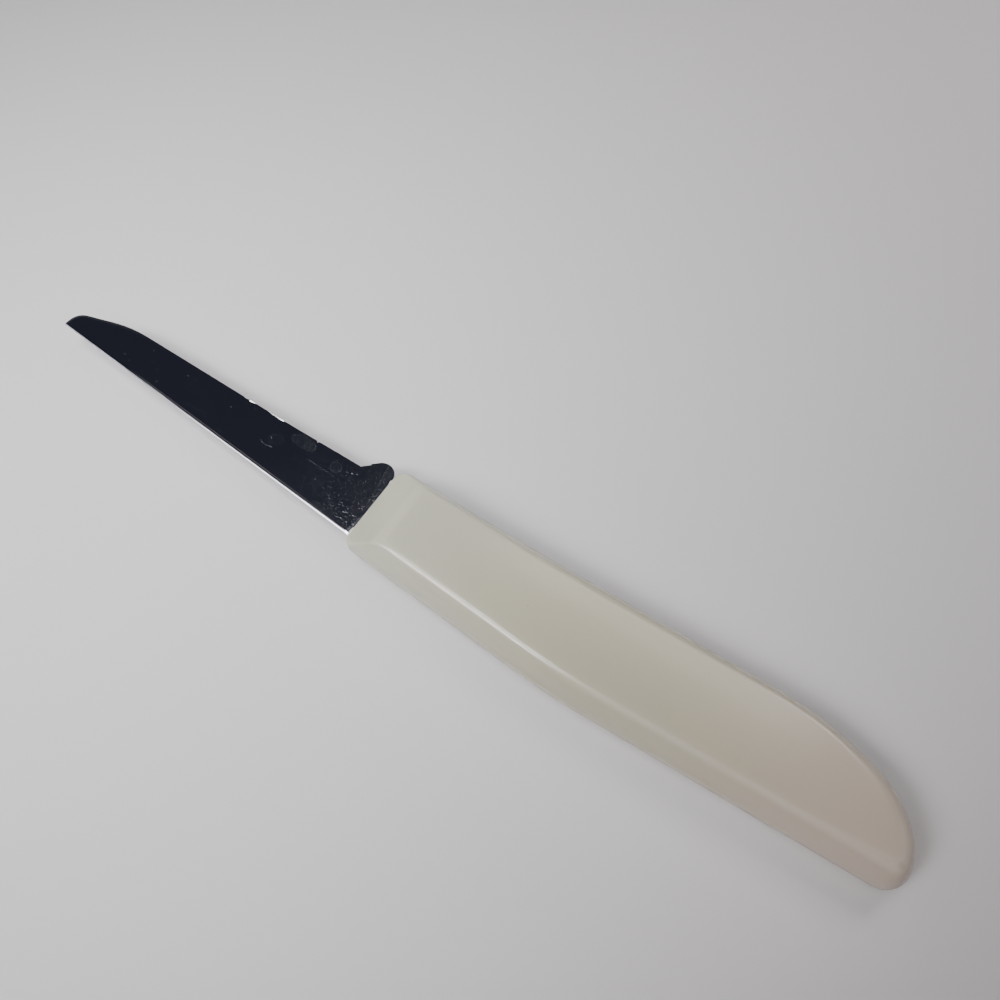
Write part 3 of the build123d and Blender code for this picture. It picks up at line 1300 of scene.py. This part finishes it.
@dataclass
class JointFlash:
    """Thin bead of plastic left along the joint where the mould closed on the strip."""

    thickness: float = 0.075
    least: float = 0.7
    uneven: float = 0.6
    wander: float = 0.10
    pitch: float = 0.09
    ripple: float = 1.1
    spine_swell: float = 4.6
    heel_swell: float = 2.4
    heel: float = SHOULDER_WIDTH + 0.15
    spine_radius: float = 0.2
    sides: int = 10
    seed: float = 3.0

    def path(self) -> bpy.types.Object:
        """Closed line round the strip at the handle's front, with how much the bead swells along it.

        Returns:
            The object.
        """
        half, heel = STOCK / 2, self.heel
        spine_side = [
            (1.6, half, 0.1),
            (1.0, half, 0.7),
            (0.45, half, 1.0),
            (self.spine_radius, half - 0.02, 0.9),
            (0.0, half - 0.1, 0.7),
            (-0.02, 0.0, 0.6),
            (-0.02, -half + 0.08, 0.6),
            (self.spine_radius, -half, 0.3),
            (0.8, -half, 0.0),
        ]
        heel_side = [
            (heel - 0.7, -half, 0.0),
            (heel - 0.1, -half, 0.7),
            (heel, 0.0, 0.8),
            (heel - 0.1, half - 0.05, 1.0),
            (heel - 0.6, half, 0.3),
            (heel - 1.0, half, 0.0),
        ]
        section = [(y, z, share * self.spine_swell) for y, z, share in spine_side]
        section += [(y, z, share * self.heel_swell) for y, z, share in heel_side]
        mesh = bpy.data.meshes.new("joint_line")
        points = [placed(-y * slope(JOINT_SLANT), y, z) for y, z, _ in section]
        edges = [(i, (i + 1) % len(points)) for i in range(len(points))]
        mesh.from_pydata([tuple(point) for point in points], edges, [])
        swell = mesh.attributes.new("swell", "FLOAT", "POINT")
        swell.data.foreach_set("value", [value for _, _, value in section])
        item = bpy.data.objects.new("handle_flash", mesh)
        bpy.context.scene.collection.objects.link(item)
        return item

    def tree(self, material: bpy.types.Material) -> bpy.types.NodeTree:
        """Geometry Nodes that sweep an uneven bead along the line.

        Args:
            material: Finish of the bead.

        Returns:
            The tree.
        """
        tree = bpy.data.node_groups.new("uneven_bead", "GeometryNodeTree")
        tree.interface.new_socket("Geometry", in_out="INPUT", socket_type="NodeSocketGeometry")
        for name in self.values():
            tree.interface.new_socket(name, in_out="INPUT", socket_type="NodeSocketFloat")
        tree.interface.new_socket("Geometry", in_out="OUTPUT", socket_type="NodeSocketGeometry")
        given = add_node(tree, "NodeGroupInput").outputs
        line = add_node(tree, "GeometryNodeMeshToCurve", None, {"Mesh": given["Geometry"]})
        pitch = {"Curve": line.outputs[0], "Length": given["Pitch"]}
        even = add_node(tree, "GeometryNodeResampleCurve", {"mode": "LENGTH"}, pitch)
        ripple = {"W": given["Seed"], "Scale": given["Ripple"], "Detail": 3.0}
        noise = add_node(tree, "ShaderNodeTexNoise", {"noise_dimensions": "4D"}, ripple)
        values = {0: noise.outputs["Color"], 1: (0.5, 0.5, 0.5)}
        centred = add_node(tree, "ShaderNodeVectorMath", {"operation": "SUBTRACT"}, values)
        values = {0: centred.outputs[0], "Scale": given["Wander"]}
        stray = add_node(tree, "ShaderNodeVectorMath", {"operation": "SCALE"}, values)
        values = {0: stray.outputs[0], 1: (1.0, 0.0, 0.25)}
        along = add_node(tree, "ShaderNodeVectorMath", {"operation": "MULTIPLY"}, values)
        values = {"Geometry": even.outputs[0], "Offset": along.outputs[0]}
        moved = add_node(tree, "GeometryNodeSetPosition", None, values)
        swell = add_node(tree, "GeometryNodeInputNamedAttribute", {"data_type": "FLOAT"}, {"Name": "swell"})
        values = {0: noise.outputs[0], 1: given["Uneven"], 2: swell.outputs["Attribute"]}
        rippled = add_node(tree, "ShaderNodeMath", {"operation": "MULTIPLY_ADD"}, values)
        values = {0: rippled.outputs[0], 1: given["Least"]}
        grown = add_node(tree, "ShaderNodeMath", {"operation": "ADD"}, values)
        values = {0: grown.outputs[0], 1: given["Thickness"]}
        radius = add_node(tree, "ShaderNodeMath", {"operation": "MULTIPLY"}, values)
        values = {"Resolution": self.sides, "Radius": 1.0}
        circle = add_node(tree, "GeometryNodeCurvePrimitiveCircle", None, values).outputs["Curve"]
        values = {"Curve": moved.outputs[0], "Scale": radius.outputs[0], "Profile Curve": circle}
        sweep = add_node(tree, "GeometryNodeCurveToMesh", None, values)
        real = add_node(tree, "GeometryNodeRealizeInstances", None, {0: sweep.outputs[0]})
        values = {"Geometry": real.outputs[0], "Material": material}
        finish = add_node(tree, "GeometryNodeSetMaterial", None, values)
        add_node(tree, "NodeGroupOutput", None, {"Geometry": finish.outputs[0]})
        return tree

    def values(self) -> dict[str, float]:
        """Values of the tree's named inputs, with lengths in metres."""
        return {
            "Thickness": self.thickness * MM,
            "Least": self.least,
            "Uneven": self.uneven,
            "Wander": self.wander * MM,
            "Pitch": self.pitch * MM,
            "Ripple": self.ripple / MM,
            "Seed": self.seed,
        }

    def build(self) -> bpy.types.Object:
        """Builds and dresses the bead.

        Returns:
            The piece.
        """
        item = self.path()
        tree = self.tree(bpy.data.materials["handle_plastic"])
        bead = item.modifiers.new("bead", "NODES")
        bead.node_group = tree
        values = self.values()
        for socket in tree.interface.items_tree:
            if socket.in_out == "INPUT" and socket.name in values:
                bead[socket.identifier] = values[socket.name]
        baked(item)
        faced_out(item)
        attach(item, BODY)
        return item


@dataclass(frozen=True)
class Softbox:
    """Rectangular studio light that faces a point on the floor. Lengths are in metres."""

    name: str
    place: Triple
    size: Point
    power: float
    color: Color
    aim: Triple
    spread: float = 180.0


@dataclass
class Studio:
    """Camera, floor, lights and surroundings. Lengths are in metres."""

    camera_place: Triple = (0.05166, -0.05232, 0.16511)
    camera_pitch: float = 63.0
    camera_yaw: float = 37.77
    camera_lens: float = 36.108
    camera_sensor: float = 36.0
    camera_nearest: float = 0.01
    floor_size: float = 4.0
    floor_color: Color = (0.80, 0.79, 0.797)
    # Painted shade: the floor turns darker and warmer from beside the butt onwards
    painted_shade_floor_color: Color = (0.77, 0.73, 0.725)
    painted_shade_turn: float = 0.3
    painted_shade_span: Span = (70.0, 130.0)
    shade_color: Color = (0.85, 0.85, 0.85)
    shade_share: float = 0.1
    floor_roughness: float = 0.62
    floor_roughness_spread: float = 0.06
    sky_color: Color = (0.0215, 0.0228, 0.0355)
    low_color: Color = (0.16, 0.16, 0.165)
    sky_height: float = 0.62
    low_height: float = 0.30
    softboxes: tuple[Softbox, ...] = (
        Softbox(
            "key_softbox",
            place=(-0.20, -0.34, 0.45),
            size=(0.30, 0.28),
            power=0.255,
            color=(0.98, 0.965, 1.0),
            aim=(-0.08, -0.03, 0.0),
            spread=36.0,
        ),
        Softbox(
            "top_softbox",
            place=(-0.12, -0.07, 0.50),
            size=(0.20, 0.16),
            power=0.085,
            color=(0.98, 0.97, 1.0),
            aim=(-0.07, -0.03, 0.0),
            spread=36.0,
        ),
        Softbox(
            "tip_softbox",
            place=(-0.41, -0.27, 0.44),
            size=(0.08, 0.12),
            power=0.006,
            color=(0.98, 0.98, 1.0),
            aim=(-0.06, -0.02, 0.0),
            spread=24.0,
        ),
        Softbox(
            "rear_softbox",
            place=(-0.01, 0.225, 0.50),
            size=(0.26, 0.08),
            power=0.355,
            color=(1.0, 0.95, 0.90),
            aim=(0.0, 0.0, 0.0),
        ),
        Softbox(
            "side_softbox",
            place=(0.085, -0.29, 0.50),
            size=(0.29, 0.12),
            power=0.17,
            color=(1.0, 0.87, 0.83),
            aim=(0.06, 0.0, 0.0),
        ),
        Softbox(
            "back_softbox",
            place=(0.08, 0.60, 0.60),
            size=(0.30, 0.30),
            power=0.15,
            color=(1.0, 0.94, 0.92),
            aim=(0.02, 0.25, 0.0),
            spread=32.0,
        ),
    )

    def camera(self) -> None:
        """Puts the camera where the photograph was taken from."""
        data = bpy.data.cameras.new("camera")
        data.lens = self.camera_lens
        data.sensor_width = self.camera_sensor
        data.clip_start = self.camera_nearest
        item = bpy.data.objects.new("camera", data)
        bpy.context.scene.collection.objects.link(item)
        yaw, pitch = math.radians(self.camera_yaw), math.radians(self.camera_pitch)
        level = math.cos(pitch)
        forward = Vector((-math.sin(yaw) * level, math.cos(yaw) * level, -math.sin(pitch)))
        right = Vector((math.cos(yaw), math.sin(yaw), 0.0))
        up = right.cross(forward)
        turned = Matrix((right, up, -forward)).transposed().to_4x4()
        item.matrix_world = Matrix.Translation(self.camera_place) @ turned
        bpy.context.scene.camera = item

    def floor(self) -> None:
        """Lays the pale floor, with painted shade that darkens and warms it around and beyond the butt."""
        half = self.floor_size / 2
        corners = [Vector((x * half, y * half, 0.0)) for x, y in ((-1, -1), (1, -1), (1, 1), (-1, 1))]
        item = mesh_object("floor", corners, [(0, 1, 2, 3)])
        graph = Graph("floor_paper", {"Specular IOR Level": 0.3})
        grain = graph.noise(graph.place(), scale=0.02, detail=3.0)
        x, y, _ = graph.axes()
        # Painted shade: darker, warmer floor from beside the butt onwards, along x less a share of y
        floor_painted_shade = (x - self.painted_shade_turn * y).step(*self.painted_shade_span)
        tint = graph.mix(floor_painted_shade, self.floor_color, self.painted_shade_floor_color)
        tint = graph.mix(grain * self.shade_share, tint, self.shade_color, "MULTIPLY")
        rough = self.floor_roughness + self.floor_roughness_spread * (grain - 0.5)
        item.data.materials.append(graph.surface(Base_Color=tint, Roughness=rough))

    def lights(self) -> None:
        """Hangs the softboxes."""
        for box in self.softboxes:
            data = bpy.data.lights.new(box.name, "AREA")
            data.shape = "RECTANGLE"
            data.size, data.size_y = box.size
            data.energy = box.power
            data.color = box.color
            data.spread = math.radians(box.spread)
            item = bpy.data.objects.new(box.name, data)
            item.location = box.place
            way = Vector(box.aim) - Vector(box.place)
            item.rotation_euler = way.to_track_quat("-Z", "Y").to_euler()
            bpy.context.scene.collection.objects.link(item)

    def surroundings(self) -> None:
        """Makes the room: dark overhead and paler near the horizon."""
        world = bpy.data.worlds.new("room")
        world.use_nodes = True
        tree = world.node_tree
        place = add_node(tree, "ShaderNodeTexCoord").outputs["Generated"]
        parts = add_node(tree, "ShaderNodeSeparateXYZ", None, {0: place})
        stops = {"stops": ((self.low_height, self.low_color), (self.sky_height, self.sky_color))}
        ramp = add_node(tree, "ShaderNodeValToRGB", stops, {"Fac": parts.outputs["Z"]})
        tree.links.new(ramp.outputs["Color"], tree.nodes["Background"].inputs["Color"])
        bpy.context.scene.world = world

    def build(self) -> None:
        """Sets up the whole studio."""
        self.camera()
        self.floor()
        self.lights()
        self.surroundings()


def report(item: bpy.types.Object) -> None:
    """Logs a piece's name, its number of faces and its size.

    Args:
        item: The piece.
    """
    size = [round(side / MM, 2) for side in item.dimensions]
    log.info("%s: %d faces, %s mm", item.name, len(item.data.polygons), size)


def main() -> None:
    """Builds the studio and the knife."""
    logging.basicConfig(level=logging.INFO, format="%(message)s")
    Studio().build()
    for part in (Blade(), Handle(), JointFlash()):
        report(part.build())


if __name__ == "__main__":
    main()
